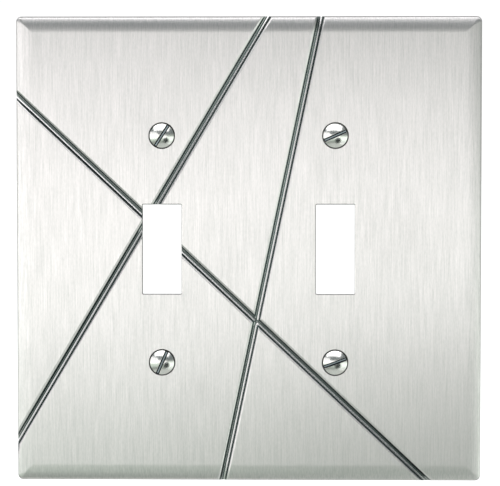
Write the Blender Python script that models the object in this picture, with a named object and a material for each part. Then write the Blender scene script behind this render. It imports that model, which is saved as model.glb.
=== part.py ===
"""Two-gang toggle wall plate with its four fixing screws.

Metres, +Z up.  The origin is the centre of the wall plane: the plate's back rim lies on
y = 0 and its face looks along -Y.  Each screw is modelled seated in its countersink and
has its origin on its own axis, in the plane of the plate's face.
"""

import math

import bmesh
import bpy
from mathutils import Vector

# ---- driving dimensions ------------------------------------------------------------
MM = 0.001

GANG_SPACING = 46.04 * MM        # 1.812 in between two switches side by side
SCREW_SPACING = 60.33 * MM       # 2.375 in between a toggle switch's plate screws

PLATE_WIDTH = 123.4 * MM
PLATE_HEIGHT = 123.4 * MM
PLATE_DEPTH = 6.0 * MM           # wall to face
SHEET = 1.0 * MM                 # thickness of the stamped steel
CORNER_RADIUS = 1.4 * MM         # corner seen from the front
CORNER_TIGHTENING = 0.6          # share of an inset that a corner's radius loses
SHARPEST_CORNER = 0.3 * MM
EDGE_RADIUS = 0.7 * MM           # bend between face and side wall
INNER_BEND = 0.4 * MM            # the same bend seen from behind, as a flat
CROWN_WIDTH = 4.4 * MM           # band in which the face rolls away towards the bend
CROWN_DROP = 0.55 * MM

OPENING_WIDTH = 10.3 * MM        # 0.406 in
OPENING_HEIGHT = 23.8 * MM       # 0.937 in
OPENING_CORNER = 0.3 * MM

GROOVE_WIDTH = 2.8 * MM          # lip to lip
GROOVE_DEPTH = 0.9 * MM
GROOVE_RIB_EXTRA = 0.5 * MM      # how much further the pressed rib reaches behind
VALLEY_LIFT = 0.03 * MM          # keeps a valley cutter's lips off the plane of the face
# Each groove runs straight between two points on the plate's outline, (x, z).
GROOVES = {
    "left": ((5.0 * MM, PLATE_HEIGHT / 2), (-PLATE_WIDTH / 2, -51.0 * MM)),
    "rising": ((19.1 * MM, PLATE_HEIGHT / 2), (-6.9 * MM, -PLATE_HEIGHT / 2)),
    "falling": ((-PLATE_WIDTH / 2, 40.9 * MM), (47.4 * MM, -PLATE_HEIGHT / 2)),
}

SEAT_HALF_ANGLE = math.radians(41.0)   # 82 degree countersink
SEAT_MOUTH_RADIUS = 3.55 * MM
SEAT_HOLE_RADIUS = 2.05 * MM
BOSS_ROOT_RADIUS = 4.4 * MM      # the dimple that the press forms behind each seat
BOSS_TIP_RADIUS = 2.95 * MM
BOSS_DEPTH = 2.5 * MM            # below the face

FIT_GAP = 0.3 * MM               # clearance between a seated screw and the plate

HEAD_RADIUS = 3.2 * MM
HEAD_RIM = 0.1 * MM              # straight land at the head's widest place
DOME_HEIGHT = 1.0 * MM
SHANK_RADIUS = 1.75 * MM         # 6-32 thread, outside
SCREW_LENGTH = 15.9 * MM         # 5/8 in, from the rim of the head to the tip
TIP_CHAMFER = 0.45 * MM
SLOT_WIDTH = 0.9 * MM
SLOT_DEPTH = 1.25 * MM           # below the top of the dome
SLOT_CORNER = 0.02 * MM
# Screw name: side along X, side along Z, angle of the slot above the horizontal.
SCREWS = {
    "screw_top_left": (-1, 1, 57.0),
    "screw_top_right": (1, 1, 24.0),
    "screw_bottom_left": (-1, -1, 66.5),
    "screw_bottom_right": (1, -1, 20.0),
}

CORNER_STEPS = 5                 # facets round a corner of the plate
EDGE_STEPS = 5
CROWN_STEPS = 3
GROOVE_STEPS = 10
ROUND_STEPS = 48                 # facets round a screw or a seat
DOME_STEPS = 7
CUTTER_MARGIN = 1.0 * MM         # how far a cutter stands clear of what it cuts
GROOVE_OVERRUN = 3.0 * MM        # how far a groove's tools run past the outline
SMOOTH_ANGLE = math.radians(32.0)

FACE_Y = -PLATE_DEPTH


# ---- scene and materials -----------------------------------------------------------
def clear_scene():
    """Start from an empty scene."""
    for item in list(bpy.data.objects):
        bpy.data.objects.remove(item, do_unlink=True)


def metal(name, colour, roughness):
    """A plain metal finish."""
    material = bpy.data.materials.new(name)
    material.use_nodes = True
    shader = material.node_tree.nodes["Principled BSDF"]
    shader.inputs["Base Color"].default_value = (*colour, 1.0)
    shader.inputs["Metallic"].default_value = 1.0
    shader.inputs["Roughness"].default_value = roughness
    material.diffuse_color = (*colour, 1.0)
    return material


# ---- mesh helpers ------------------------------------------------------------------
def finish_mesh(bm, name, smooth=False):
    """Turn a bmesh into a named object with its faces pointing out."""
    bmesh.ops.remove_doubles(bm, verts=bm.verts, dist=1e-7)
    bmesh.ops.recalc_face_normals(bm, faces=bm.faces)
    mesh = bpy.data.meshes.new(name)
    bm.to_mesh(mesh)
    bm.free()
    if smooth:
        mesh.shade_smooth()
        mesh.set_sharp_from_angle(angle=SMOOTH_ANGLE)
    item = bpy.data.objects.new(name, mesh)
    bpy.context.scene.collection.objects.link(item)
    return item


def as_cutter(item):
    """Keep a construction solid out of the finished object."""
    item.hide_render = True
    item.display_type = "WIRE"
    return item


def combine(item, tool, operation):
    """Join or cut an object with a construction solid."""
    modifier = item.modifiers.new(f"{operation.lower()}_{tool.name}", "BOOLEAN")
    modifier.operation = operation
    modifier.solver = "EXACT"
    modifier.object = as_cutter(tool)


def outline(half_width, half_height, radius, steps):
    """Points of a rounded rectangle, anticlockwise, as (across, up)."""
    points = []
    for quarter, (side_x, side_z) in enumerate(((1, 1), (-1, 1), (-1, -1), (1, -1))):
        centre = Vector((side_x * (half_width - radius), side_z * (half_height - radius)))
        for step in range(steps + 1):
            angle = math.radians(90.0) * (quarter + step / steps)
            points.append(centre + radius * Vector((math.cos(angle), math.sin(angle))))
    return points


def loop_at(bm, points, y):
    """A loop of vertices through (x, z) points at one depth."""
    return [bm.verts.new((point.x, y, point.y)) for point in points]


def loft(bm, loops):
    """Skin a row of loops that have the same number of vertices."""
    for first, second in zip(loops, loops[1:]):
        for i in range(len(first)):
            bm.faces.new((first[i - 1], first[i], second[i], second[i - 1]))


def block(name, points, y_near, y_far):
    """A straight block with the given (x, z) outline between two depths."""
    bm = bmesh.new()
    loops = [loop_at(bm, points, y) for y in (y_near, y_far)]
    loft(bm, loops)
    for loop in loops:
        bm.faces.new(loop)
    return finish_mesh(bm, name)


def turned(name, profile, smooth=False):
    """A closed solid turned about Y from (radius, y) points that start and end on the axis."""
    bm = bmesh.new()
    verts = [bm.verts.new((radius, y, 0.0)) for radius, y in profile]
    edges = [bm.edges.new(pair) for pair in zip(verts, verts[1:])]
    bmesh.ops.spin(bm, geom=verts + edges, cent=(0, 0, 0), axis=(0, 1, 0),
                   angle=math.tau, steps=ROUND_STEPS, use_merge=True)
    return finish_mesh(bm, name, smooth)


# ---- plate -------------------------------------------------------------------------
def edge_profile():
    """The plate's outer edge as (inset, depth below the face), from side wall to face."""
    crown_slope = math.atan(2.0 * CROWN_DROP / CROWN_WIDTH)
    sweep = math.radians(90.0) - crown_slope
    arc_top = CROWN_DROP - EDGE_RADIUS * (1.0 - math.cos(crown_slope))
    points = []
    for step in range(EDGE_STEPS + 1):
        angle = sweep * step / EDGE_STEPS
        inset = EDGE_RADIUS * (1.0 - math.cos(angle))
        points.append((inset, arc_top + EDGE_RADIUS * (1.0 - math.sin(angle))))
    arc_end = points[-1][0]
    for step in range(1, CROWN_STEPS + 1):
        share = step / CROWN_STEPS
        inset = arc_end + (CROWN_WIDTH - arc_end) * share
        points.append((inset, CROWN_DROP * (1.0 - share) ** 2))
    return points


def plate_outline(inset):
    """The plate's outline, moved in by an inset."""
    radius = max(CORNER_RADIUS - CORNER_TIGHTENING * inset, SHARPEST_CORNER)
    return outline(PLATE_WIDTH / 2 - inset, PLATE_HEIGHT / 2 - inset, radius, CORNER_STEPS)


def plate_shell():
    """The blank: a shallow tray of sheet metal, open towards the wall."""
    sections = [(0.0, PLATE_DEPTH)]
    sections += edge_profile()
    bm = bmesh.new()
    outside = [loop_at(bm, plate_outline(inset), FACE_Y + depth) for inset, depth in sections]
    inner_sections = [
        (SHEET, PLATE_DEPTH),
        (SHEET, SHEET + INNER_BEND),
        (SHEET + INNER_BEND, SHEET),
    ]
    inside = [loop_at(bm, plate_outline(inset), FACE_Y + depth) for inset, depth in inner_sections]
    loft(bm, outside[::-1] + inside)
    bm.faces.new(outside[-1])
    bm.faces.new(inside[-1])
    return finish_mesh(bm, "wall_plate", smooth=True)


def groove_section(half_width, depth, level, roof):
    """A valley's cross-section as (across, y): a raised cosine below level, closed at roof."""
    points = []
    for step in range(GROOVE_STEPS + 1):
        across = half_width * (2.0 * step / GROOVE_STEPS - 1.0)
        sink = depth * math.cos(math.pi * across / (2.0 * half_width)) ** 2
        points.append((across, level + sink))
    return points + [(half_width, roof), (-half_width, roof)]


def along_groove(name, ends, section):
    """Extrude a cross-section straight along a groove, past both of its ends."""
    start = Vector(ends[0])
    finish = Vector(ends[1])
    direction = (finish - start).normalized()
    normal = Vector((-direction.y, direction.x))
    bm = bmesh.new()
    loops = []
    for centre in (start - direction * GROOVE_OVERRUN, finish + direction * GROOVE_OVERRUN):
        spots = [(centre + normal * across, y) for across, y in section]
        loops.append([bm.verts.new((spot.x, y, spot.y)) for spot, y in spots])
    loft(bm, loops)
    for loop in loops:
        bm.faces.new(loop)
    return finish_mesh(bm, name)


def press_groove(plate, name, ends):
    """Press one groove: a rib behind the sheet, then the valley in front."""
    inner_face = FACE_Y + SHEET
    middle = FACE_Y + SHEET / 2
    half = GROOVE_WIDTH / 2
    rib_section = groove_section(half + GROOVE_RIB_EXTRA, GROOVE_DEPTH, inner_face, middle)
    rib = along_groove(f"rib_{name}", ends, rib_section)
    reach = SHEET / 2
    trim_points = outline(PLATE_WIDTH / 2 - reach, PLATE_HEIGHT / 2 - reach,
                          CORNER_RADIUS - reach, CORNER_STEPS)
    trim = block(f"rib_trim_{name}", trim_points, FACE_Y, 0.0)
    combine(rib, trim, "INTERSECT")
    combine(plate, rib, "UNION")
    valley_section = groove_section(half, GROOVE_DEPTH + VALLEY_LIFT,
                                    FACE_Y - VALLEY_LIFT, FACE_Y - CUTTER_MARGIN)
    return along_groove(f"valley_{name}", ends, valley_section)


def screw_position(side_x, side_z):
    """Where a screw's axis meets the plane of the face."""
    return Vector((side_x * GANG_SPACING / 2, FACE_Y, side_z * SCREW_SPACING / 2))


def seat_boss(name):
    """The dimple's metal behind the sheet."""
    profile = [
        (0.0, SHEET / 2),
        (BOSS_ROOT_RADIUS, SHEET / 2),
        (BOSS_ROOT_RADIUS, SHEET),
        (BOSS_TIP_RADIUS, BOSS_DEPTH),
        (0.0, BOSS_DEPTH),
    ]
    return turned(f"boss_{name}", profile)


def seat_cutter(name):
    """The countersink and the clearance hole below it."""
    slope = math.tan(SEAT_HALF_ANGLE)
    throat = (SEAT_MOUTH_RADIUS - SEAT_HOLE_RADIUS) / slope
    top = -CUTTER_MARGIN
    profile = [
        (0.0, top),
        (SEAT_MOUTH_RADIUS - top * slope, top),
        (SEAT_HOLE_RADIUS, throat),
        (SEAT_HOLE_RADIUS, BOSS_DEPTH + CUTTER_MARGIN),
        (0.0, BOSS_DEPTH + CUTTER_MARGIN),
    ]
    return turned(f"seat_{name}", profile)


def opening_cutter(name, centre_x):
    """The rectangular hole that a switch's lever comes through."""
    points = outline(OPENING_WIDTH / 2, OPENING_HEIGHT / 2, OPENING_CORNER, CORNER_STEPS)
    points = [point + Vector((centre_x, 0.0)) for point in points]
    return block(f"opening_{name}", points, FACE_Y - CUTTER_MARGIN, CUTTER_MARGIN)


def wall_plate(finish):
    """The stamped plate with its grooves, screw seats and toggle openings."""
    plate = plate_shell()
    cutters = [press_groove(plate, name, ends) for name, ends in GROOVES.items()]
    for name, (side_x, side_z, _) in SCREWS.items():
        boss = seat_boss(name)
        boss.location = screw_position(side_x, side_z)
        combine(plate, boss, "UNION")
        seat = seat_cutter(name)
        seat.location = screw_position(side_x, side_z)
        cutters.append(seat)
    for name, side_x in (("left", -1), ("right", 1)):
        cutters.append(opening_cutter(name, side_x * GANG_SPACING / 2))
    for cutter in cutters:
        combine(plate, cutter, "DIFFERENCE")
    plate.data.materials.append(finish)
    return plate


# ---- screws ------------------------------------------------------------------------
def screw_profile():
    """An oval-head countersunk screw as (radius, y), y = 0 being the plate's face."""
    slope = math.tan(SEAT_HALF_ANGLE)
    cone_at_face = SEAT_MOUTH_RADIUS - FIT_GAP / math.cos(SEAT_HALF_ANGLE)
    rim_low = (cone_at_face - HEAD_RADIUS) / slope
    rim_high = rim_low - HEAD_RIM
    dome_radius = (HEAD_RADIUS ** 2 + DOME_HEIGHT ** 2) / (2.0 * DOME_HEIGHT)
    dome_centre = rim_high - DOME_HEIGHT + dome_radius
    half_sweep = math.asin(HEAD_RADIUS / dome_radius)
    profile = []
    for step in range(DOME_STEPS + 1):
        angle = half_sweep * step / DOME_STEPS
        profile.append((dome_radius * math.sin(angle), dome_centre - dome_radius * math.cos(angle)))
    tip = rim_high + SCREW_LENGTH
    profile += [
        (HEAD_RADIUS, rim_low),
        (SHANK_RADIUS, (cone_at_face - SHANK_RADIUS) / slope),
        (SHANK_RADIUS, tip - TIP_CHAMFER),
        (SHANK_RADIUS - TIP_CHAMFER, tip),
        (0.0, tip),
    ]
    return profile


def slot_cutter(name, top):
    """The straight slot across the head, along X before it is turned."""
    points = outline(HEAD_RADIUS + CUTTER_MARGIN, SLOT_WIDTH / 2, SLOT_CORNER, 1)
    return block(f"slot_{name}", points, top - CUTTER_MARGIN, top + SLOT_DEPTH)


def fixing_screw(name, side_x, side_z, slot_degrees, finish):
    """One slotted screw, seated in the plate and turned to its own slot angle."""
    profile = screw_profile()
    screw = turned(name, profile, smooth=True)
    slot = slot_cutter(name, profile[0][1])
    slot.parent = screw
    combine(screw, slot, "DIFFERENCE")
    screw.location = screw_position(side_x, side_z)
    screw.rotation_euler = (0.0, -math.radians(slot_degrees), 0.0)
    screw.data.materials.append(finish)
    return screw


def main():
    clear_scene()
    brushed = metal("brushed_nickel", (0.74, 0.735, 0.71), 0.30)
    polished = metal("polished_nickel", (0.77, 0.765, 0.74), 0.12)
    wall_plate(brushed)
    for name, (side_x, side_z, slot_degrees) in SCREWS.items():
        fixing_screw(name, side_x, side_z, slot_degrees, polished)
    bpy.context.view_layer.update()


main()
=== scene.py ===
"""Finish and studio set for a two-gang toggle wall plate and its four fixing screws.

Metres, +Z up, the plate's face towards -Y.  Laid out as an add-on: property groups hold the
sizes and colours, one operator makes each group of pieces, and main() runs them in order.
"""

import math

import bmesh
import bpy
import numpy as np
from bpy.props import FloatProperty, FloatVectorProperty, PointerProperty
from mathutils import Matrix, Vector
from mathutils.geometry import delaunay_2d_cdt


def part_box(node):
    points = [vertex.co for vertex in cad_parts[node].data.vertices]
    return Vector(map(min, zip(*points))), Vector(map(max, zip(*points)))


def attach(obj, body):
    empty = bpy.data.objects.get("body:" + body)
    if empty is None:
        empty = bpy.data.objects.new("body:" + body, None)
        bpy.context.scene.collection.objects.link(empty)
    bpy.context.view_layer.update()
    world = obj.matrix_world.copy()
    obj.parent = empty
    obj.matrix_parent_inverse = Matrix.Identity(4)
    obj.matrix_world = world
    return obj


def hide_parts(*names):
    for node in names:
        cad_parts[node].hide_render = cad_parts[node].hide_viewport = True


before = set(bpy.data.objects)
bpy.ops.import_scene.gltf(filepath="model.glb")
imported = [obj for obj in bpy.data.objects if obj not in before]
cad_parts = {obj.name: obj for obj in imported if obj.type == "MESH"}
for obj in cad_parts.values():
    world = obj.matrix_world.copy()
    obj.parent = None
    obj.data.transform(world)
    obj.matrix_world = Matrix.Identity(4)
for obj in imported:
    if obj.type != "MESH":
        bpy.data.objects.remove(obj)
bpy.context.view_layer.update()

bl_info = {
    "name": "Two-gang toggle wall plate",
    "version": (1, 0, 0),
    "blender": (4, 5, 0),
    "location": "3D View > Sidebar > Wall plate",
    "description": "Makes a brushed wall plate with pressed grooves, its screws and a studio set",
    "category": "Object",
}

MM = 0.001
PLATE_LOW, PLATE_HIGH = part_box("wall_plate")
HALF_WIDTH = (PLATE_HIGH.x - PLATE_LOW.x) / 2
HALF_HEIGHT = (PLATE_HIGH.z - PLATE_LOW.z) / 2
FACE_Y = PLATE_LOW.y
WALL_Y = PLATE_HIGH.y

# Each groove runs straight between two points of the outline, (x, z).
GROOVES = {
    "left": ((5.0 * MM, HALF_HEIGHT), (-HALF_WIDTH, -51.0 * MM)),
    "rising": ((19.1 * MM, HALF_HEIGHT), (-6.9 * MM, -HALF_HEIGHT)),
    "falling": ((-HALF_WIDTH, 40.9 * MM), (47.4 * MM, -HALF_HEIGHT)),
}
# Each screw's node, its body and the angle of its slot above the horizontal, in degrees.
SCREWS = {
    "screw_top_left": ("top_left_screw", 57.0),
    "screw_top_right": ("top_right_screw", 24.0),
    "screw_bottom_left": ("bottom_left_screw", 66.5),
    "screw_bottom_right": ("bottom_right_screw", 20.0),
}
SEAT_HALF_ANGLE = math.radians(41.0)

# Fineness of the plate's mesh.
OUTLINE_CORNER_STEPS = 10
OPENING_CORNER_STEPS = 8
SEAT_STEPS = 72
SIDE_SPACING = 4.0 * MM  # points along straight drawing lines
BEND_DEGREES = (0, 12, 24, 36, 48, 60, 72)
CROWN_LINES = 8
ROLL_SHARES = (0.0, 0.04, 0.15, 0.35, 0.65, 1.0)  # lines across a small rounding
GROOVE_LINES = 29
RIB_LINES = 4  # on each side of a groove, where only the rib behind it bends
BOSS_LINES = 6
BOSS_CREASE = 0.03  # lines beside the crease round a dimple's end, as a share of its radius
GROOVE_OVERRUN = 1.0 * MM  # how far a groove's lines run past the outline
MERGE_DISTANCE = 1e-8
BORDER_TOLERANCE = 2e-6
SLOPE_STEP = 2e-6  # step of the finite differences that give the normals
INSET_MARGIN = 0.5 * MM  # how far beyond the crowned border an inset is looked for
HALVINGS = 40  # steps that find a point's inset

# How the plate's surfaces run into each other.
FALL = 8.0  # slope beyond the outline and inside an opening
GROOVE_BLEND = 8  # higher is crisper where grooves cross
RIB_BLEND = 6  # higher is crisper where a rib meets a dimple
BOSS_FLARE = 1.2
BACK_CROWN = 0.8  # share of the crown that shows behind the face

# Where the face is worn, and where shade is painted along the openings' edges and in the
# countersinks.
WEAR_REACH = 0.5 * MM
COUNTERSINK_SHADE_REACH = 0.1 * MM
COUNTERSINK_SHADE_SHARE = 0.8
# Share of the painted shade kept along an opening's right-hand edge.
LEAST_EDGE_SHADE = 0.1

# Fineness and form of the screws.
SCREW_STEPS = 64
DOME_RINGS = 25
CONE_SHARES = (0.33, 0.66, 1.0)
RINGS_PER_TURN = 14
THREAD_RUN_IN = 0.6  # turns between the cone and the start of the thread
THREAD_FLANK = 1.45  # steepness of the thread's flanks
THREAD_CREST = 0.15
SLOT_SECTIONS = 41
SLOT_REACH = 1.15  # length of the slot cutter, in head widths
SLOT_FLARE = 0.6 * MM
SLOT_SKIN = 0.05 * MM  # faces deeper than this below the dome are in the slot
SLOT_MARGIN = 0.01 * MM
CREASE_ANGLE = math.radians(28.0)


# ---- settings ----
def length(name, description, default):
    """A length in metres, shown in the scene's unit."""
    return FloatProperty(name=name, description=description, default=default,
                         min=0.0, precision=5, subtype="DISTANCE", unit="LENGTH")


def share(name, description, default):
    """A number from 0 to 1."""
    return FloatProperty(name=name, description=description, default=default,
                         min=0.0, max=1.0, subtype="FACTOR")


def colour(name, description, default):
    """A linear colour."""
    return FloatVectorProperty(name=name, description=description, default=default,
                               size=3, min=0.0, max=1.0, subtype="COLOR")


def radiance(name, description, default):
    """How bright a lit surface looks, 1 being white."""
    return FloatProperty(name=name, description=description, default=default, min=0.0)


class WallPlateSizes(bpy.types.PropertyGroup):
    """Sizes of the stamped plate."""
    sheet: length("Sheet", "Thickness of the stamped sheet", 1.0 * MM)
    corner_radius: length("Corner radius", "Corner seen from the front", 1.4 * MM)
    sharpest_corner: length("Sharpest corner", "Smallest corner radius of an inset", 0.3 * MM)
    corner_tightening: share("Corner tightening", "Share of an inset that a corner loses", 0.6)
    edge_radius: length("Edge radius", "Bend between face and side wall", 0.7 * MM)
    crown_width: length("Crown width", "Band where the face rolls away to the bend", 4.4 * MM)
    crown_drop: length("Crown drop", "How far the face has dropped at the outline", 0.55 * MM)
    inner_bend: length("Inner bend", "Bend behind the edge", 0.5 * MM)
    groove_width: length("Groove width", "Pressed groove, lip to lip", 2.8 * MM)
    groove_depth: length("Groove depth", "Pressed groove below the face", 0.9 * MM)
    # Painted shadow: where and how wide the dark line painted below each groove's upper wall lies.
    shadow_line_place: length("Shadow line place", "Dark line below a groove's upper wall", 0.15 * MM)
    shadow_line_width: length("Shadow line width", "Half width of that dark line", 0.22 * MM)
    rib_extra: length("Rib extra", "How much further the rib behind a groove reaches", 0.5 * MM)
    opening_width: length("Opening width", "Lever opening across", 10.3 * MM)
    opening_height: length("Opening height", "Lever opening up and down", 23.8 * MM)
    opening_corner: length("Opening corner", "Corner radius of a lever opening", 0.3 * MM)
    opening_roll: length("Opening roll", "Rounding that the punch leaves in front", 0.25 * MM)
    seat_mouth: length("Seat mouth", "Radius of a countersink at the face", 3.55 * MM)
    seat_hole: length("Seat hole", "Radius of a screw's clearance hole", 2.05 * MM)
    seat_roll: length("Seat roll", "Rounding of a countersink's mouth", 0.07 * MM)
    boss_root: length("Boss root", "Radius of the dimple behind a seat, at the sheet", 4.4 * MM)
    boss_tip: length("Boss tip", "Radius of the dimple behind a seat, at its end", 2.95 * MM)
    boss_depth: length("Boss depth", "End of the dimple below the face", 2.5 * MM)


class WallPlateScrewSizes(bpy.types.PropertyGroup):
    """Sizes of the oval-head screws."""
    head_radius: length("Head radius", "Widest place of the head", 3.2 * MM)
    head_land: length("Head land", "Straight land at the widest place", 0.1 * MM)
    dome_height: length("Dome height", "Height of the oval head over the land", 1.0 * MM)
    fit_gap: length("Fit gap", "Clearance between a seated screw and its seat", 0.3 * MM)
    shank_radius: length("Shank radius", "Outside radius of the thread", 1.75 * MM)
    thread_pitch: length("Thread pitch", "Travel for one turn, 32 threads to the inch", 0.794 * MM)
    thread_depth: length("Thread depth", "From crest to root", 0.46 * MM)
    tip_chamfer: length("Tip chamfer", "Chamfer at the end of the thread", 0.45 * MM)
    slot_width: length("Slot width", "Driver slot across", 0.9 * MM)
    slot_depth: length("Slot depth", "Driver slot below the top of the dome", 1.25 * MM)
    slot_chamfer: length("Slot chamfer", "Broken edge along the slot", 0.07 * MM)


class WallPlateFinish(bpy.types.PropertyGroup):
    """Colours and finishes."""
    nickel: colour("Brushed nickel", "Reflection colour of the face", (0.805, 0.765, 0.771))
    nickel_shade: colour("Brushed shade", "Colour in the deeper brush lines", (0.645, 0.628, 0.625))
    # Painted shade: the dark colour painted on the grooves' flanks.
    painted_groove_shade: colour("Painted groove shade", "Darkened flanks of a groove", (0.016, 0.055, 0.053))
    # Painted shade along the openings' edges, darker on their left, top and bottom, and in the
    # countersinks.
    shear: colour("Painted edge shade", "Colour of the punched edges", (0.30, 0.30, 0.29))
    inside: colour("Inside", "Mill finish behind the face", (0.50, 0.50, 0.49))
    slot: colour("Slot", "Saw-cut driver slot", (0.36, 0.41, 0.44))
    polished: colour("Polished nickel", "Reflection colour of the screws", (0.80, 0.79, 0.77))
    brush_roughness: share("Brush roughness", "Roughness of the brushed face", 0.345)
    groove_roughness: share("Groove roughness", "Roughness inside a groove", 0.22)
    brush_direction: share("Brush stretch", "Anisotropy of the brushed face", 0.87)
    screw_roughness: share("Screw roughness", "Roughness of the polished heads", 0.16)


class WallPlateStudio(bpy.types.PropertyGroup):
    """Brightness of the studio set."""
    backdrop: radiance("Backdrop", "Background that the camera sees", 1.05)
    ambient: radiance("Ambient", "Dim room around the set", 1.0)
    key: radiance("Key panel", "Large panel at the left", 1.06)
    front: radiance("Front panel", "Low panel round the camera", 1.095)
    top: radiance("Top panel", "Panel overhead", 2.0)
    side: radiance("Side panel", "Panel at the right", 0.64)


# ---- drawing lines in the plane of the face ----
def rounded_rectangle(half_width, half_height, radius, corner_steps):
    """Closed outline as (x, z) rows, anticlockwise, with points along its straight sides."""
    corners = []
    for quarter, (side_x, side_z) in enumerate(((1, 1), (-1, 1), (-1, -1), (1, -1))):
        angles = math.radians(90.0) * (quarter + np.linspace(0.0, 1.0, corner_steps + 1))
        arc = radius * np.column_stack((np.cos(angles), np.sin(angles)))
        corners.append(arc + (side_x * (half_width - radius), side_z * (half_height - radius)))
    rows = []
    for corner, following in zip(corners, corners[1:] + corners[:1]):
        rows.append(corner)
        rows.append(straight(corner[-1], following[0])[1:-1])
    return np.concatenate(rows)


def straight(start, end):
    """Evenly spaced points from start to end."""
    start, end = np.asarray((start, end), float)
    steps = max(1, round(float(np.linalg.norm(end - start)) / SIDE_SPACING))
    return start + (end - start) * np.linspace(0.0, 1.0, steps + 1)[:, None]


def circle(centre, radius, steps):
    """Closed circle as (x, z) rows."""
    angles = np.linspace(0.0, math.tau, steps, endpoint=False)
    return np.column_stack((np.cos(angles), np.sin(angles))) * radius + centre


class Drawing:
    """Points and lines in the plane of the face, meshed into triangles between them."""

    def __init__(self):
        self.points = []
        self.lines = []

    def add(self, rows, closed=True):
        """Add a line through rows of points."""
        first = len(self.points)
        self.points.extend(Vector(row) for row in rows)
        count = len(rows)
        self.lines.extend((first + i, first + i + 1) for i in range(count - 1))
        if closed:
            self.lines.append((first + count - 1, first))

    def triangles(self):
        """(points, triangles), every line being an edge of some triangle."""
        result = delaunay_2d_cdt(self.points, self.lines, [], 0, MERGE_DISTANCE, False)
        return np.array([tuple(point) for point in result[0]]), np.array(result[2], dtype=int)


# ---- the plate as depths below the face ----
def rectangle_distance(x, z, half_width, half_height, radius):
    """Signed distance to a rounded rectangle's outline, negative inside."""
    over_x = np.abs(x) - (half_width - radius)
    over_z = np.abs(z) - (half_height - radius)
    outside = np.hypot(np.maximum(over_x, 0.0), np.maximum(over_z, 0.0))
    return outside + np.minimum(np.maximum(over_x, over_z), 0.0) - radius


def course(name):
    """A groove's start, its end and the unit vector along it."""
    start, end = (np.array(point) for point in GROOVES[name])
    return start, end, (end - start) / np.linalg.norm(end - start)


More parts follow.
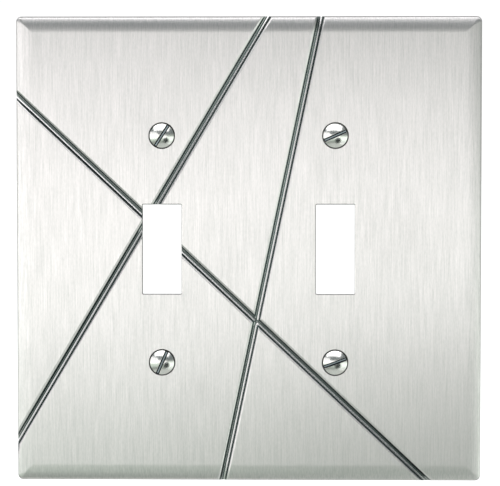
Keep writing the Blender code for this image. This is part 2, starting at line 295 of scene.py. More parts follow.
class PlateForm:
    """The stamped sheet: how far its front and its back lie below the face at (x, z)."""

    def __init__(self, sizes):
        self.s = sizes
        self.seats = []
        for node in SCREWS:
            low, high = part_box(node)
            self.seats.append(((low.x + high.x) / 2, (low.z + high.z) / 2))
        columns = sorted({round(x, 5) for x, _ in self.seats})
        self.openings = [(x, 0.0) for x in columns]
        slope = math.atan(2.0 * self.s.crown_drop / self.s.crown_width)
        self.arc_end = self.s.edge_radius * (1.0 - math.cos(math.radians(90.0) - slope))
        self.arc_top = self.crown(self.arc_end) - self.s.edge_radius * (1.0 - math.cos(slope))

    def corner(self, inset):
        """Corner radius of the outline moved in by an inset."""
        return np.maximum(self.s.corner_radius - self.s.corner_tightening * inset,
                          self.s.sharpest_corner)

    def inset(self, x, z):
        """How far a point lies inside the outline, found by halving; 0 on the outline."""
        low = np.full(np.shape(x), -INSET_MARGIN)
        high = np.full(np.shape(x), self.s.crown_width + INSET_MARGIN)
        for _ in range(HALVINGS):
            middle = (low + high) / 2
            out = rectangle_distance(x, z, HALF_WIDTH - middle, HALF_HEIGHT - middle,
                                     self.corner(middle)) > 0.0
            high = np.where(out, middle, high)
            low = np.where(out, low, middle)
        return (low + high) / 2

    def crown(self, inset):
        """Drop of the gently crowned border."""
        left = np.clip(1.0 - np.asarray(inset) / self.s.crown_width, 0.0, None)
        return self.s.crown_drop * left ** 2

    def edge(self, inset):
        """Drop of the crown and the bend into the side wall."""
        reach = np.clip(inset, 0.0, self.arc_end)
        rise = 1.0 - reach / self.s.edge_radius
        bend = self.arc_top + self.s.edge_radius * (1.0 - np.sqrt(1.0 - rise ** 2))
        outside = np.maximum(-np.asarray(inset), 0.0) * FALL
        return np.where(inset < self.arc_end, bend + outside, self.crown(inset))

    def across(self, name, x, z):
        """Distance from a groove's centre line."""
        start, _, run = course(name)
        return (x - start[0]) * -run[1] + (z - start[1]) * run[0]

    def above(self, name, x, z):
        """Distance from a groove's centre line, positive towards its upper wall."""
        _, _, run = course(name)
        return self.across(name, x, z) * (1.0 if run[0] > 0.0 else -1.0)

    def pressed(self, x, z, half_width):
        """Depth of the three grooves together, for a given half width."""
        total = 0.0
        for name in GROOVES:
            part = np.clip(np.abs(self.across(name, x, z)) / half_width, 0.0, 1.0)
            depth = self.s.groove_depth * np.cos(part * math.pi / 2) ** 2
            total = total + (depth / MM) ** GROOVE_BLEND
        return total ** (1.0 / GROOVE_BLEND) * MM

    def seat_radius(self, x, z):
        """Distance from the nearest screw's axis."""
        return np.min([np.hypot(x - cx, z - cz) for cx, cz in self.seats], axis=0)

    def opening_distance(self, x, z):
        """Distance outside the nearest lever opening, negative in it."""
        s = self.s
        return np.min([rectangle_distance(x - cx, z - cz, s.opening_width / 2,
                                          s.opening_height / 2, s.opening_corner)
                       for cx, cz in self.openings], axis=0)

    def front(self, x, z):
        """Depth of the front surface."""
        s = self.s
        inset = self.inset(x, z)
        grooved = self.crown(inset) + self.pressed(x, z, s.groove_width / 2)
        depth = np.maximum(self.edge(inset), grooved)
        gap = self.opening_distance(x, z)
        rise = 1.0 - np.clip(gap, 0.0, s.opening_roll) / s.opening_roll
        depth = depth + s.opening_roll * (1.0 - np.sqrt(1.0 - rise ** 2))
        depth = depth + np.maximum(-gap, 0.0) * FALL
        cone = (s.seat_mouth - self.seat_radius(x, z)) / math.tan(SEAT_HALF_ANGLE)
        lip = np.clip(cone + s.seat_roll, 0.0, None) ** 2 / (4.0 * s.seat_roll)
        return depth + np.where(cone > s.seat_roll, cone, lip)

    def back(self, x, z):
        """Depth of the surface behind, below the face."""
        s = self.s
        inset = self.inset(x, z)
        rise = 1.0 - np.clip((inset - s.sheet) / s.inner_bend, 0.0, 1.0)
        bend = s.inner_bend * (1.0 - np.sqrt(np.maximum(1.0 - rise ** 2, 0.0)))
        ribs = self.pressed(x, z, s.groove_width / 2 + s.rib_extra)
        along = (s.boss_root - self.seat_radius(x, z)) / (s.boss_root - s.boss_tip)
        boss = (s.boss_depth - s.sheet) * np.clip(along, 0.0, 1.0) ** BOSS_FLARE
        swell = ((ribs / MM) ** RIB_BLEND + (boss / MM) ** RIB_BLEND) ** (1.0 / RIB_BLEND) * MM
        return s.sheet + self.crown(inset) * BACK_CROWN + bend + swell


def slopes(depth, x, z):
    """Gradient of a depth function by central differences."""
    step = SLOPE_STEP
    return ((depth(x + step, z) - depth(x - step, z)) / (2 * step),
            (depth(x, z + step) - depth(x, z - step)) / (2 * step))


def plate_drawing(form):
    """Lines wherever the sheet bends: borders, grooves, openings and seats."""
    s = form.s
    drawing = Drawing()
    border = [s.edge_radius * (1.0 - math.cos(angle)) for angle in np.radians(BEND_DEGREES)]
    border += list(np.linspace(form.arc_end, s.crown_width, CROWN_LINES))
    border += [s.sheet + s.inner_bend * part for part in ROLL_SHARES]
    for inset in border:
        drawing.add(rounded_rectangle(HALF_WIDTH - inset, HALF_HEIGHT - inset,
                                      float(form.corner(inset)), OUTLINE_CORNER_STEPS))
    for x, z in form.openings:
        for part in ROLL_SHARES:
            grow = part * s.opening_roll
            ring = rounded_rectangle(s.opening_width / 2 + grow, s.opening_height / 2 + grow,
                                     s.opening_corner + grow, OPENING_CORNER_STEPS)
            drawing.add(ring + (x, z))
    rolled = s.seat_roll * math.tan(SEAT_HALF_ANGLE)
    radii = [s.seat_hole, (s.seat_hole + s.seat_mouth) / 2]
    radii += list(s.seat_mouth + rolled * np.linspace(-1.0, 1.0, 5))
    radii += [s.boss_tip * (1.0 - BOSS_CREASE), s.boss_tip * (1.0 + BOSS_CREASE)]
    radii += list(np.linspace(s.boss_tip, s.boss_root, BOSS_LINES)[1:])
    for seat in form.seats:
        for radius in radii:
            drawing.add(circle(seat, radius, SEAT_STEPS))
    half = s.groove_width / 2
    offsets = np.concatenate((np.linspace(-half - s.rib_extra, -half, RIB_LINES)[:-1],
                              np.linspace(-half, half, GROOVE_LINES),
                              np.linspace(half, half + s.rib_extra, RIB_LINES)[1:]))
    for name in GROOVES:
        start, end, run = course(name)
        overrun = run * GROOVE_OVERRUN
        for offset in offsets:
            aside = np.array((-run[1], run[0])) * offset
            drawing.add(straight(start - overrun + aside, end + overrun + aside), closed=False)
    columns = np.arange(-HALF_WIDTH + SIDE_SPACING, HALF_WIDTH - SIDE_SPACING / 2, SIDE_SPACING)
    drawing.points.extend(Vector((x, z)) for x in columns for z in columns)
    return drawing


def directed_edges(triangles):
    """Every (from, to) edge of the triangles."""
    return {(int(a), int(b)) for tri in triangles for a, b in zip(tri, np.roll(tri, -1))}


class PlateMesher:
    """Builds the closed sheet from one drawing used three times: front, back and rim."""

    def __init__(self, form):
        self.form = form
        self.points, triangles = plate_drawing(form).triangles()
        x, z = self.points.T
        middle = self.points[triangles].mean(axis=1).T
        inset = form.inset(*middle)
        solid = (inset > 0.0) & (form.opening_distance(*middle) > 0.0)
        solid &= form.seat_radius(*middle) > form.s.seat_hole * math.cos(math.pi / SEAT_STEPS)
        rim = solid & (inset < form.s.sheet)
        self.solid, self.rim = triangles[solid], triangles[rim]
        self.web = triangles[solid & ~rim]
        self.inset = form.inset(x, z)

    def build(self, name):
        """The finished mesh object."""
        form = self.form
        x, z = self.points.T
        count = len(x)
        front = FACE_Y + form.front(x, z)
        back = FACE_Y + form.back(x, z)
        levels = (front, back, np.full(count, WALL_Y))
        coords = np.concatenate([np.column_stack((x, y, z)) for y in levels])
        faces = [("front", tuple(tri)) for tri in self.solid]
        faces += [("back", tuple(tri[::-1] + count)) for tri in self.web]
        faces += [("rim", tuple(tri[::-1] + 2 * count)) for tri in self.rim]
        edges = directed_edges(self.solid)
        for a, b in edges:
            if (b, a) in edges:
                continue
            outer = max(abs(self.inset[a]), abs(self.inset[b])) < BORDER_TOLERANCE
            shift = 2 * count if outer else count
            faces.append(("side" if outer else "cut", (b, a, a + shift, b + shift)))
        rim_edges = directed_edges(self.rim)
        for a, b in directed_edges(self.web):
            if (b, a) in rim_edges:
                faces.append(("fold", (a + count, b + count, b + 2 * count, a + 2 * count)))
        return self.to_object(name, coords, faces)

    def to_object(self, name, coords, faces):
        """The mesh object: faces of both materials, exact normals, numbers for the finish."""
        used = np.unique(np.concatenate([face for _, face in faces]))
        place = np.full(len(coords), -1)
        place[used] = np.arange(len(used))
        mesh = bpy.data.meshes.new(name)
        mesh.from_pydata(coords[used].tolist(), [],
                         [place[list(face)].tolist() for _, face in faces])
        mesh.shade_smooth()
        region_of = [region for region, _ in faces]
        inside = {"back", "rim", "cut", "fold"}
        mesh.polygons.foreach_set("material_index", [int(region in inside) for region in region_of])
        x, _, z = coords[used].T
        normals = self.smooth_normals(mesh, region_of, x, z)
        self.keep_finish(mesh, x, z)
        mesh.normals_split_custom_set(normals.tolist())
        return placed(name, mesh)

    def smooth_normals(self, mesh, region_of, x, z):
        """Exact normals for the front and back; edges between regions are marked sharp."""
        form = self.form
        normals = np.zeros((len(mesh.loops), 3))
        corner_vertex = np.zeros(len(mesh.loops), dtype=int)
        mesh.loops.foreach_get("vertex_index", corner_vertex)
        exact = {}
        for region, depth, sign in (("front", form.front, 1.0), ("back", form.back, -1.0)):
            slope_x, slope_z = slopes(depth, x, z)
            rows = np.column_stack((slope_x, np.full(len(x), -1.0), slope_z)) * sign
            exact[region] = rows / np.linalg.norm(rows, axis=1)[:, None]
        borders = {}
        for polygon, region in zip(mesh.polygons, region_of):
            if region in exact:
                loops = list(polygon.loop_indices)
                normals[loops] = exact[region][corner_vertex[loops]]
            for key in polygon.edge_keys:
                borders.setdefault(key, set()).add(region)
        sharp = [len(borders[tuple(sorted(edge.vertices))]) > 1 for edge in mesh.edges]
        mesh.edges.foreach_set("use_edge_sharp", sharp)
        return normals

    def keep_finish(self, mesh, x, z):
        """Numbers that tell the materials where the face is grooved or worn, and where shade is
        painted in the grooves, along the openings' edges and in the countersinks.
        """
        form = self.form
        s = form.s
        store(mesh, "groove", form.pressed(x, z, s.groove_width / 2) / s.groove_depth)
        # Painted shadow: a dark line below each groove's upper wall.
        off = np.array([form.above(name, x, z) - s.shadow_line_place for name in GROOVES])
        store(mesh, "painted_groove_shadow", np.max(np.exp(-(off / s.shadow_line_width) ** 2), axis=0))
        store(mesh, "edge_wear", np.exp(-np.maximum(form.inset(x, z), 0.0) / WEAR_REACH))
        # Painted shade along the openings' edges, darker on their left, top and bottom than on
        # their right, and over the countersinks.
        outward, _ = slopes(form.opening_distance, x, z)
        punched_edge_shade = 1.0 - np.clip(form.opening_distance(x, z) / s.opening_roll, 0.0, 1.0) ** 2
        punched_edge_shade = punched_edge_shade * np.clip(1.0 - outward, LEAST_EDGE_SHADE, 1.0)
        countersink_shade = np.clip((s.seat_mouth - form.seat_radius(x, z)) / COUNTERSINK_SHADE_REACH, 0.0, 1.0)
        store(mesh, "edge_and_seat_shade", np.maximum(punched_edge_shade, countersink_shade * COUNTERSINK_SHADE_SHARE))


def store(mesh, name, values):
    """Keep a number on every vertex for the materials."""
    attribute = mesh.attributes.new(name, "FLOAT", "POINT")
    attribute.data.foreach_set("value", np.asarray(values, np.float32))


def placed(name, data):
    """A new object in the scene."""
    item = bpy.data.objects.new(name, data)
    bpy.context.scene.collection.objects.link(item)
    return item


def finished(bm, name):
    """The mesh of a finished bmesh, which is then freed."""
    mesh = bpy.data.meshes.new(name)
    bm.to_mesh(mesh)
    bm.free()
    return mesh


# ---- screws ----
class ScrewForm:
    """Profile of an oval-head screw as (radius, y) with y = 0 in the plane of the face."""

    def __init__(self, sizes, seat_mouth, tip):
        s = sizes
        self.s = s
        self.tip = tip
        slope = math.tan(SEAT_HALF_ANGLE)
        cone_at_face = seat_mouth - s.fit_gap / math.cos(SEAT_HALF_ANGLE)
        self.land_low = (cone_at_face - s.head_radius) / slope
        self.land_high = self.land_low - s.head_land
        self.ball = (s.head_radius ** 2 + s.dome_height ** 2) / (2.0 * s.dome_height)
        self.ball_y = self.land_high - s.dome_height + self.ball
        self.neck = (cone_at_face - s.shank_radius) / slope

    def dome_y(self, radius):
        """Height of the dome at a radius."""
        return self.ball_y - np.sqrt(self.ball ** 2 - radius ** 2)

    def rings(self):
        """(radius, y, thread share) of every ring from the top of the dome to the tip."""
        s = self.s
        sweep = math.asin(s.head_radius / self.ball)
        angles = sweep * np.linspace(0.0, 1.0, DOME_RINGS)[1:]
        rows = [(self.ball * math.sin(angle), self.ball_y - self.ball * math.cos(angle), 0.0)
                for angle in angles]
        rows.append((s.head_radius, self.land_low, 0.0))
        for part in CONE_SHARES:
            radius = s.head_radius + (s.shank_radius - s.head_radius) * part
            rows.append((radius, self.land_low + (self.neck - self.land_low) * part, 0.0))
        step = s.thread_pitch / RINGS_PER_TURN
        count = int((self.tip - self.neck) / step)
        for i in range(1, count):
            y = self.neck + (self.tip - self.neck) * i / count
            start = np.clip((y - self.neck) / s.thread_pitch - THREAD_RUN_IN, 0.0, 1.0)
            radius = min(s.shank_radius, s.shank_radius - s.tip_chamfer + (self.tip - y))
            rows.append((radius, y, float(start)))
        rows.append((s.shank_radius - s.tip_chamfer, self.tip, 1.0))
        return rows

    def thread(self, y, angle):
        """Share of the thread's depth that is cut away at a height and an angle."""
        phase = np.mod(y / self.s.thread_pitch - angle / math.tau, 1.0)
        flank = np.abs(phase - 0.5) * 2.0
        return np.clip((1.0 - flank) * THREAD_FLANK - THREAD_CREST, 0.0, 1.0)


def skinned(name, bm, loops):
    """A new object, closed by quads from each loop of vertices to the next."""
    for first, second in zip(loops, loops[1:]):
        for i in range(len(first)):
            bm.faces.new((first[i - 1], second[i - 1], second[i], first[i]))
    bmesh.ops.recalc_face_normals(bm, faces=bm.faces)
    return placed(name, finished(bm, name))


def screw_blank(name, form):
    """The turned and threaded screw, before its slot is cut."""
    s = form.s
    angles = np.linspace(0.0, math.tau, SCREW_STEPS, endpoint=False)
    bm = bmesh.new()
    top = bm.verts.new((0.0, form.dome_y(0.0), 0.0))
    loops = []
    for radius, y, threaded in form.rings():
        radii = np.full(SCREW_STEPS, radius)
        if threaded:
            cut = radius - threaded * s.thread_depth * form.thread(y, angles)
            radii = np.minimum(np.maximum(cut, s.shank_radius - s.thread_depth), radius)
        loops.append([bm.verts.new((r * math.cos(a), y, r * math.sin(a)))
                      for r, a in zip(radii, angles)])
    for i in range(SCREW_STEPS):
        bm.faces.new((top, loops[0][i - 1], loops[0][i]))
    bm.faces.new(loops[-1])
    return skinned(name, bm, loops)


def slot_cutter(form):
    """The driver slot along X, its mouth flared so that both edges come out broken."""
    s = form.s
    half = s.slot_width / 2
    floor = form.dome_y(0.0) + s.slot_depth
    reach = s.head_radius * SLOT_REACH
    mouth = half + s.slot_chamfer + SLOT_FLARE
    bm = bmesh.new()
    loops = []
    for u in np.linspace(-reach, reach, SLOT_SECTIONS):
        edge = float(form.dome_y(min(math.hypot(u, half + s.slot_chamfer), s.head_radius)))
        low = edge + s.slot_chamfer
        high = edge - SLOT_FLARE
        section = ((-half, floor), (half, floor), (half, low), (mouth, high), (-mouth, high),
                   (-half, low))
        loops.append([bm.verts.new((u, y, v)) for v, y in section])
    bm.faces.new(loops[0])
    bm.faces.new(loops[-1])
    return skinned("slot_cutter", bm, loops)


def cut_away(item, cutter):
    """Cut a solid out of an object for good, and drop the cutter."""
    modifier = item.modifiers.new("cut", "BOOLEAN")
    modifier.operation = "DIFFERENCE"
    modifier.solver = "EXACT"
    modifier.object = cutter
    bpy.context.view_layer.update()
    result = item.evaluated_get(bpy.context.evaluated_depsgraph_get())
    mesh = bpy.data.meshes.new_from_object(result)
    item.modifiers.clear()
    item.data = mesh
    bpy.data.objects.remove(cutter, do_unlink=True)


def mark_slot(mesh, form):
    """Give the faces inside the driver slot the second material."""
    half = form.s.slot_width / 2 + SLOT_MARGIN
    floor = form.dome_y(0.0) + form.s.slot_depth + SLOT_MARGIN
    rim = form.s.head_radius - SLOT_MARGIN
    for polygon in mesh.polygons:
        x, y, z = polygon.center
        below_dome = y > form.dome_y(math.hypot(x, z)) + SLOT_SKIN
        in_slot = below_dome and abs(z) < half and y < floor and math.hypot(x, z) < rim
        polygon.material_index = int(in_slot)


# ---- shader helpers ----
class Tree:
    """A short way to place and join nodes."""

    def __init__(self, tree):
        self.tree = tree

    def node(self, kind, inputs=None, **settings):
        """Place a node, set its options and fill or link its inputs."""
        node = self.tree.nodes.new(kind)
        for key, value in settings.items():
            setattr(node, key, value)
        for key, value in (inputs or {}).items():
            self.feed(node.inputs[key], value)
        return node

    def feed(self, socket, value):
        """Link an output to an input, or set the input's own value."""
        if isinstance(value, bpy.types.NodeSocket):
            self.tree.links.new(value, socket)
        elif isinstance(value, (tuple, list)) and len(value) == 3 and socket.type == "RGBA":
            socket.default_value = (*value, 1.0)
        else:
            socket.default_value = value

    def math(self, operation, first, second=0.0):
        """A math node's result."""
        return self.node("ShaderNodeMath", {0: first, 1: second}, operation=operation).outputs[0]

    def times(self, first, second):
        """One value times another."""
        return self.math("MULTIPLY", first, second)

    def plus(self, first, second):
        """One value added to another."""
        return self.math("ADD", first, second)

    def ramp(self, value, low, high, start=0.0, end=1.0):
        """A value mapped from low..high to start..end, clamped."""
        node = self.node("ShaderNodeMapRange", {"Value": value, "From Min": low, "From Max": high,
                                                "To Min": start, "To Max": end})
        return node.outputs["Result"]

    def mix(self, factor, first, second):
        """Two colours mixed by a factor."""
        node = self.node("ShaderNodeMix", data_type="RGBA")
        self.feed(node.inputs[0], factor)
        self.feed(node.inputs[6], first)
        self.feed(node.inputs[7], second)
        return node.outputs[2]

    def noise(self, vector, scale, detail=2.0, roughness=0.5):
        """Noise from 0 to 1."""
        node = self.node("ShaderNodeTexNoise", {"Vector": vector, "Scale": scale,
                                                "Detail": detail, "Roughness": roughness})
        return node.outputs["Fac"]

    def group(self, tree, inputs):
        """Place a node group with its own values: its outputs."""
        node = self.node("ShaderNodeGroup", node_tree=tree)
        for key, value in inputs.items():
            self.feed(node.inputs[key], value)
        return node.outputs

    def bumped(self, shader, height, strength, distance):
        """Feed a height to a shader's normal."""
        node = self.node("ShaderNodeBump", {"Height": height, "Strength": strength,
                                            "Distance": distance})
        self.feed(shader.inputs["Normal"], node.outputs["Normal"])

    def stretched(self, vector, scale, shift=(0.0, 0.0, 0.0)):
        """A vector scaled and shifted."""
        node = self.node("ShaderNodeMapping", {"Vector": vector, "Scale": scale, "Location": shift})
        return node.outputs["Vector"]


def new_group(name, numbers, outputs):
    """An empty node group with named sockets: its tree, its inputs and its output node."""
    group = bpy.data.node_groups.new(name, "ShaderNodeTree")
    new_socket = group.interface.new_socket
    new_socket(name="Vector", in_out="INPUT", socket_type="NodeSocketVector")
    for key, default in numbers.items():
        new_socket(name=key, in_out="INPUT", socket_type="NodeSocketFloat").default_value = default
    for key in outputs:
        new_socket(name=key, in_out="OUTPUT", socket_type="NodeSocketFloat")
    tree = Tree(group)
    return tree, tree.node("NodeGroupInput").outputs, tree.node("NodeGroupOutput")


# The finest brush lines' share of the tone; stretch, shift, detail and share of the others.
FINEST_SHARE = 0.528
BRUSH_LAYERS = (
    ((0.55, 0.55, 0.7), (7.1, 0.0, 3.3), 2.0, 0.24),
    ((0.13, 0.13, 0.2), (1.7, 0.0, 9.4), 2.0, 0.032),
    ((0.6, 0.6, 8.0), (3.3, 0.0, 1.1), 1.0, 0.2),
)
RUBBED_METAL = (0.86, 0.85, 0.84)
OILED_METAL = (0.36, 0.345, 0.31)
TURNED_METAL = (0.62, 0.61, 0.59)
DULL_FLECK = (0.5, 0.5, 0.5)
# Painted shade along the slot's two sides.
SLOT_CORNER_SHADE = (0.01, 0.015, 0.017)


def brush_lines_group():
    """Straight brush lines along Z: fine scratches over broader bands."""
    name = "Brush lines"
    if name in bpy.data.node_groups:
        return bpy.data.node_groups[name]
    tree, given, result = new_group(name, {"Lines": 5000.0, "Stretch": 0.024}, ("Tone", "Height"))
    lines = given["Lines"]
    along = tree.times(lines, given["Stretch"])
    scale = tree.node("ShaderNodeCombineXYZ", {"X": lines, "Y": lines, "Z": along}).outputs[0]
    place = tree.node("ShaderNodeVectorMath", {0: given["Vector"], 1: scale},
                      operation="MULTIPLY").outputs[0]
    finest = tree.noise(place, 1.0, 3.0, 0.6)
    tone = tree.times(finest, FINEST_SHARE)
    for stretch, shift, detail, part in BRUSH_LAYERS:
        layer = tree.noise(tree.stretched(place, stretch, shift), 1.0, detail)
        tone = tree.plus(tone, tree.times(layer, part))
    tree.feed(result.inputs["Tone"], tree.ramp(tone, 0.38, 0.62))
    tree.feed(result.inputs["Height"], tree.ramp(finest, 0.25, 0.75))
    return tree.tree


def handling_group():
    """Dust and faint finger marks in soft patches."""
    name = "Handling marks"
    if name in bpy.data.node_groups:
        return bpy.data.node_groups[name]
    tree, given, result = new_group(name, {"Patch Scale": 60.0, "Amount": 0.5}, ("Smudge", "Speck"))
    vector, scale, amount = given["Vector"], given["Patch Scale"], given["Amount"]
    patches = tree.ramp(tree.noise(vector, scale, 3.0, 0.55), 0.48, 0.72)
    tree.feed(result.inputs["Smudge"], tree.times(patches, amount))
    cells = tree.node("ShaderNodeTexVoronoi", {"Vector": vector, "Scale": tree.times(scale, 9.0)})
    specks = tree.ramp(cells.outputs["Distance"], 0.02, 0.07, 1.0, 0.0)
    tree.feed(result.inputs["Speck"], tree.times(specks, amount))
    return tree.tree


def new_material(name):
    """An empty node material: its tree, its Principled BSDF and its object coordinates."""
    material = bpy.data.materials.new(name)
    material.use_nodes = True
    tree = Tree(material.node_tree)
    shader = material.node_tree.nodes["Principled BSDF"]
    shader.inputs["Metallic"].default_value = 1.0
    return material, tree, shader, tree.node("ShaderNodeTexCoord").outputs["Object"]


def brush_lines(tree, place, **inputs):
    """Outputs of the brush lines."""
    return tree.group(brush_lines_group(), {"Vector": place, **inputs})


def handling_marks(tree, place, scale, amount):
    """Outputs of the handling marks."""
    return tree.group(handling_group(), {"Vector": place, "Patch Scale": scale, "Amount": amount})


def shaded(tone, factor):
    """A colour made darker or brighter by a factor."""
    return tuple(min(value * factor, 1.0) for value in tone)


def brushed_nickel(finish):
    """Satin nickel brushed up and down, smoother inside the grooves, with painted shade on the
    grooves' flanks, a painted shadow line in each groove, and painted shade along the openings'
    edges and in the countersinks.
    """
    material, tree, shader, place = new_material("brushed_nickel_face")
    brush = brush_lines(tree, place)
    smudge = handling_marks(tree, place, 38.0, 0.5)["Smudge"]
    groove, wear, shear, painted_groove_shadow = (
        tree.node("ShaderNodeAttribute", attribute_name=name).outputs["Fac"]
        for name in ("groove", "edge_wear", "edge_and_seat_shade", "painted_groove_shadow"))
    metal = tree.mix(brush["Tone"], tuple(finish.nickel_shade), tuple(finish.nickel))
    # Painted shade: the grooves' flanks are darkened, their lips and bottoms kept light, together
    # with the painted shadow line below each upper wall.
    flank = tree.times(tree.ramp(groove, 0.18, 0.45), tree.ramp(groove, 0.84, 0.60, 0.12, 1.0))
    flank = tree.math("MAXIMUM", flank, painted_groove_shadow)
    metal = tree.mix(flank, metal, tuple(finish.painted_groove_shade))
    rubbed = tree.times(wear, tree.ramp(brush["Tone"], 0.2, 0.9, 0.15, 0.6))
    metal = tree.mix(rubbed, metal, RUBBED_METAL)
    # Painted shade along the openings' edges and in the countersinks.
    metal = tree.mix(shear, metal, tuple(finish.shear))
    tree.feed(shader.inputs["Base Color"], metal)
    satin = tree.ramp(brush["Tone"], 0.0, 1.0, finish.brush_roughness + 0.03,
                      finish.brush_roughness - 0.03)
    satin = tree.plus(satin, tree.times(smudge, 0.05))
    smooth = tree.ramp(groove, 0.06, 0.32)
    brushed = tree.math("SUBTRACT", 1.0, smooth)
    tree.feed(shader.inputs["Roughness"], tree.plus(tree.times(satin, brushed),
                                                    tree.times(smooth, finish.groove_roughness)))
    tree.bumped(shader, tree.times(brush["Height"], brushed), 0.25, 0.02 * MM)
    shader.inputs["Anisotropic"].default_value = finish.brush_direction
    tangent = tree.node("ShaderNodeTangent", direction_type="RADIAL", axis="Z")
    tree.feed(shader.inputs["Tangent"], tangent.outputs["Tangent"])
    return material


def saw_cut(finish):
    """Dull, darker metal inside a driver slot, with the saw's marks along it and painted shade
    along its two sides.
    """
    material, tree, shader, place = new_material("saw_cut_slot")
    specks = handling_marks(tree, place, 900.0, 0.8)["Speck"]
    saw = tree.noise(tree.stretched(place, (600.0, 9000.0, 9000.0)), 1.0)
    tone = tuple(finish.slot)
    metal = tree.mix(saw, shaded(tone, 0.4), shaded(tone, 1.7))
    metal = tree.mix(tree.times(specks, 0.5), metal, DULL_FLECK)
    across = tree.node("ShaderNodeSeparateXYZ", {0: place}).outputs["Z"]
    # Painted shade: the slot's floor is darkened towards its two sides.
    corner = tree.ramp(tree.math("ABSOLUTE", across), 0.05 * MM, 0.23 * MM)
    tree.feed(shader.inputs["Base Color"], tree.mix(corner, metal, SLOT_CORNER_SHADE))
    tree.feed(shader.inputs["Roughness"], tree.ramp(saw, 0.3, 0.7, 0.34, 0.5))
    tree.bumped(shader, saw, 0.4, 0.02 * MM)
    return material


def mill_finish(finish):
    """Dull rolled metal behind the face and on the sheared edges."""
    material, tree, shader, place = new_material("mill_finish_inside")
    rolled = brush_lines(tree, place, Lines=900.0, Stretch=0.05)
    smudge = handling_marks(tree, place, 55.0, 0.8)["Smudge"]
    inside = tuple(finish.inside)
    metal = tree.mix(rolled["Tone"], shaded(inside, 0.86), inside)
    metal = tree.mix(tree.times(smudge, 0.45), metal, OILED_METAL)
    tree.feed(shader.inputs["Base Color"], metal)
    tree.feed(shader.inputs["Roughness"], tree.plus(tree.ramp(rolled["Tone"], 0.0, 1.0, 0.52, 0.44),
                                                    tree.times(smudge, 0.12)))
    grain = tree.noise(place, 2400.0, 2.0, 0.6)
    tree.bumped(shader, tree.plus(tree.times(grain, 0.6), rolled["Height"]), 0.3, 0.03 * MM)
    return material


def polished_nickel(finish):
    """Polished screw with faint turning marks and a few dull patches."""
    material, tree, shader, place = new_material("polished_nickel_screw")
    smudge = handling_marks(tree, place, 420.0, 0.7)["Smudge"]
    flat = tree.node("ShaderNodeVectorMath", {0: place, 1: (1.0, 0.0, 1.0)}, operation="MULTIPLY")
    radius = tree.node("ShaderNodeVectorMath", {0: flat.outputs[0]}, operation="LENGTH")
    ring = tree.node("ShaderNodeCombineXYZ", {"X": radius.outputs["Value"]})
    rings = tree.noise(ring.outputs[0], 9000.0)
    tone = tuple(finish.polished)
    metal = tree.mix(tree.times(smudge, 0.5), tone, shaded(tone, 0.82))
    metal = tree.mix(tree.ramp(rings, 0.35, 0.65, 0.0, 0.12), metal, TURNED_METAL)
    tree.feed(shader.inputs["Base Color"], metal)
    rough = tree.ramp(rings, 0.3, 0.7, finish.screw_roughness, finish.screw_roughness + 0.05)
    tree.feed(shader.inputs["Roughness"], tree.plus(tree.times(smudge, 0.10), rough))
    tree.bumped(shader, rings, 0.12, 0.01 * MM)
    return material


def matt_material(name, roughness, scale, detail, dark, light):
    """A matt, faintly mottled material, and its shader."""
    material, tree, shader, place = new_material(name)
    shader.inputs["Metallic"].default_value = 0.0
    shader.inputs["Roughness"].default_value = roughness
    mottle = tree.ramp(tree.noise(place, scale, detail), 0.3, 0.7)
    tree.feed(shader.inputs["Base Color"], tree.mix(mottle, dark, light))
    return material, shader


# ---- studio ----
CAMERA_PLACE = (12.77 * MM, -600.5 * MM, 28.99 * MM)
CAMERA_PITCH = math.radians(-2.628)
CAMERA_YAW = math.radians(-1.194)
CAMERA_LENS = 161.45
FLOOR_Z = PLATE_LOW.z - 30.0 * MM
FLOOR_RADIUS = 6.0
FLOOR_GLOW = 0.85
# Azimuth and elevation in degrees, distance, size, tint and roll of each panel.
PANELS = {
    "key": (-54.0, 4.0, 0.75, (0.73, 0.42), (1.0, 0.985, 0.99), 0.0),
    "front": (-5.0, -1.7, 0.95, (1.04, 0.28), (1.0, 0.975, 0.985), -6.0),
    "top": (-8.0, 49.5, 0.75, (1.2, 0.49), (1.0, 1.0, 1.0), 0.0),
    "side": (52.0, -22.0, 0.8, (0.85, 0.62), (0.95, 1.0, 0.96), 0.0),
}
CARD_PLACE = (18.5, -22.0, 0.41)
CARD_RADIUS = 0.117
# Tones of the room by height, from straight down (-1) to straight up (1).
ROOM_TONES = (
    (-1.0, (0.66, 0.70, 0.66)), (-0.68, (0.62, 0.66, 0.62)), (-0.58, (0.26, 0.29, 0.26)),
    (-0.48, (0.38, 0.43, 0.39)), (-0.38, (0.72, 0.83, 0.73)), (-0.14, (0.78, 0.89, 0.79)),
    (-0.05, (0.40, 0.45, 0.40)), (0.05, (0.39, 0.42, 0.39)), (0.16, (0.18, 0.205, 0.205)),
    (0.40, (0.20, 0.23, 0.23)), (0.95, (0.22, 0.24, 0.24)), (1.0, (0.25, 0.26, 0.26)),
)
ROOM_BEHIND = (0.42, 0.42, 0.415)  # the room on the wall's side of the plate


def aimed(item, azimuth, elevation, distance):
    """Stand an object in front of the plate, its -Z towards the plate, unseen by the camera.

    Azimuth runs to the right of the face's normal, and both angles are in degrees.
    """
    a, e = math.radians(azimuth), math.radians(elevation)
    aside = Vector((math.sin(a) * math.cos(e), -math.cos(a) * math.cos(e), math.sin(e)))
    item.location = aside * distance
    item.rotation_euler = (-aside).to_track_quat("-Z", "Y").to_euler()
    item.visible_camera = False


def panel_light(name, brightness, azimuth, elevation, distance, size, tint, roll):
    """A soft rectangular light, as bright in the metal as the number says."""
    light = bpy.data.lights.new(name, "AREA")
    light.shape = "RECTANGLE"
    light.size, light.size_y = size
    light.energy = brightness * math.pi * size[0] * size[1]
    light.color = tint
    item = placed(name, light)
    aimed(item, azimuth, elevation, distance)
    item.rotation_euler.rotate_axis("Z", math.radians(roll))


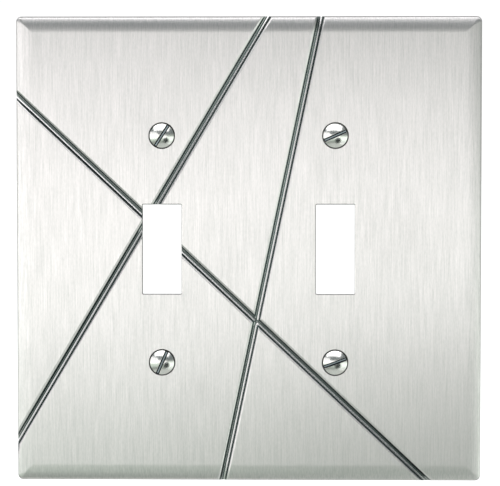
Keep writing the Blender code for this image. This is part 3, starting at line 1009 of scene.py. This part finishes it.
def disc(name, radius, steps, material):
    """A flat disc that is part of the studio set."""
    bm = bmesh.new()
    bmesh.ops.create_circle(bm, cap_ends=True, segments=steps, radius=radius)
    item = placed(name, finished(bm, name))
    item.data.materials.append(material)
    return item


def dark_card():
    """A round dark card in front of the plate."""
    felt, _ = matt_material("card_felt", 0.9, 90.0, 2.0,
                            (0.008, 0.014, 0.014), (0.014, 0.022, 0.021))
    aimed(disc("dark_card", CARD_RADIUS, 48, felt), *CARD_PLACE)


def floor_sheet():
    """A wide pale floor."""
    paper, shader = matt_material("pale_floor", 0.8, 300.0, 3.0,
                                  (0.90, 0.90, 0.89), (0.93, 0.93, 0.92))
    shader.inputs["Emission Color"].default_value = (1.0, 1.0, 1.0, 1.0)
    shader.inputs["Emission Strength"].default_value = FLOOR_GLOW
    item = disc("studio_floor", FLOOR_RADIUS, 96, paper)
    item.location.z = FLOOR_Z
    item.visible_glossy = False
    item.visible_shadow = False


def studio_world(studio):
    """A white backdrop for the camera and a dim room for everything else."""
    world = bpy.data.worlds.new("studio_world")
    world.use_nodes = True
    world.node_tree.nodes.clear()
    tree = Tree(world.node_tree)
    seen = tree.node("ShaderNodeLightPath").outputs["Is Camera Ray"]
    parts = tree.node("ShaderNodeSeparateXYZ",
                      {0: tree.node("ShaderNodeTexCoord").outputs["Generated"]}).outputs
    tone = tree.node("ShaderNodeValToRGB", {0: tree.ramp(parts["Z"], -1.0, 1.0)})
    ramp = tone.color_ramp.elements
    for height, _ in ROOM_TONES[1:-1]:
        ramp.new((height + 1.0) / 2)
    for place, (_, shade) in zip(ramp, ROOM_TONES):
        place.color = (*shade, 1.0)
    tones = tree.mix(tree.ramp(parts["Y"], 0.1, 0.5), tone.outputs["Color"], ROOM_BEHIND)
    room = tree.node("ShaderNodeBackground", {"Color": tones, "Strength": studio.ambient})
    white = tree.node("ShaderNodeBackground", {"Color": (1.0, 1.0, 1.0),
                                               "Strength": studio.backdrop})
    mixed = tree.node("ShaderNodeMixShader", {0: seen, 1: room.outputs[0], 2: white.outputs[0]})
    tree.node("ShaderNodeOutputWorld", {"Surface": mixed.outputs[0]})
    bpy.context.scene.world = world


def studio_camera():
    """The camera, a little above and to the right of the plate's centre."""
    data = bpy.data.cameras.new("studio_camera")
    data.lens = CAMERA_LENS
    data.clip_start = 0.01
    data.clip_end = 50.0
    item = placed("studio_camera", data)
    item.location = CAMERA_PLACE
    item.rotation_euler = (math.radians(90.0) + CAMERA_PITCH, 0.0, -CAMERA_YAW)
    bpy.context.scene.camera = item


# ---- operators ----
class WALLPLATE_OT_stage(bpy.types.Operator):
    """Set up the camera, the pale floor, the soft panels and the dark card"""
    bl_idname = "wallplate.stage"
    bl_label = "Studio set"

    def execute(self, context):
        studio = context.scene.wall_plate_studio
        context.scene.view_settings.view_transform = "Standard"
        studio_camera()
        studio_world(studio)
        floor_sheet()
        for name, settings in PANELS.items():
            panel_light(f"{name}_panel", getattr(studio, name), *settings)
        dark_card()
        return {"FINISHED"}


class WALLPLATE_OT_plate(bpy.types.Operator):
    """Make the stamped plate with its grooves, screw seats and lever openings"""
    bl_idname = "wallplate.plate"
    bl_label = "Stamped plate"

    def execute(self, context):
        finish = context.scene.wall_plate_finish
        form = PlateForm(context.scene.wall_plate_sizes)
        plate = PlateMesher(form).build("stamped_plate")
        plate.data.materials.append(brushed_nickel(finish))
        plate.data.materials.append(mill_finish(finish))
        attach(plate, "plate")
        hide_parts("wall_plate")
        return {"FINISHED"}


class WALLPLATE_OT_screws(bpy.types.Operator):
    """Make the four slotted oval-head screws"""
    bl_idname = "wallplate.screws"
    bl_label = "Fixing screws"

    def execute(self, context):
        scene = context.scene
        polished, sawn = polished_nickel(scene.wall_plate_finish), saw_cut(scene.wall_plate_finish)
        for node, (body, slot_degrees) in SCREWS.items():
            low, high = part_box(node)
            form = ScrewForm(scene.wall_plate_screws, scene.wall_plate_sizes.seat_mouth,
                             high.y - FACE_Y)
            screw = screw_blank(f"oval_head_{node}", form)
            cut_away(screw, slot_cutter(form))
            screw.data.shade_smooth()
            screw.data.set_sharp_from_angle(angle=CREASE_ANGLE)
            screw.location = ((low.x + high.x) / 2, FACE_Y, (low.z + high.z) / 2)
            screw.rotation_euler = (0.0, -math.radians(slot_degrees), 0.0)
            screw.data.materials.append(polished)
            screw.data.materials.append(sawn)
            mark_slot(screw.data, form)
            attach(screw, body)
            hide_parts(node)
        return {"FINISHED"}


class WALLPLATE_PT_panel(bpy.types.Panel):
    """Sizes, finishes and the steps that make the wall plate"""
    bl_idname = "WALLPLATE_PT_panel"
    bl_label = "Wall plate"
    bl_space_type = "VIEW_3D"
    bl_region_type = "UI"
    bl_category = "Wall plate"

    def draw(self, context):
        scene = context.scene
        for step in STEPS:
            self.layout.operator(step.bl_idname)
        for settings in (scene.wall_plate_sizes, scene.wall_plate_screws,
                         scene.wall_plate_finish, scene.wall_plate_studio):
            box = self.layout.box()
            for key in settings.__annotations__:
                box.prop(settings, key)


STEPS = (WALLPLATE_OT_stage, WALLPLATE_OT_plate, WALLPLATE_OT_screws)
GROUPS = {
    "wall_plate_sizes": WallPlateSizes,
    "wall_plate_screws": WallPlateScrewSizes,
    "wall_plate_finish": WallPlateFinish,
    "wall_plate_studio": WallPlateStudio,
}
CLASSES = (*GROUPS.values(), *STEPS, WALLPLATE_PT_panel)


def register():
    """Make the settings, the operators and the panel known to Blender."""
    for item in CLASSES:
        bpy.utils.register_class(item)
    for name, group in GROUPS.items():
        setattr(bpy.types.Scene, name, PointerProperty(type=group))


def unregister():
    """Take them out again."""
    for name in GROUPS:
        delattr(bpy.types.Scene, name)
    for item in reversed(CLASSES):
        bpy.utils.unregister_class(item)


def main():
    """Register and make every piece in order."""
    register()
    bpy.ops.wallplate.stage()
    bpy.ops.wallplate.plate()
    bpy.ops.wallplate.screws()
    bpy.context.view_layer.update()


if __name__ == "__main__":
    main()
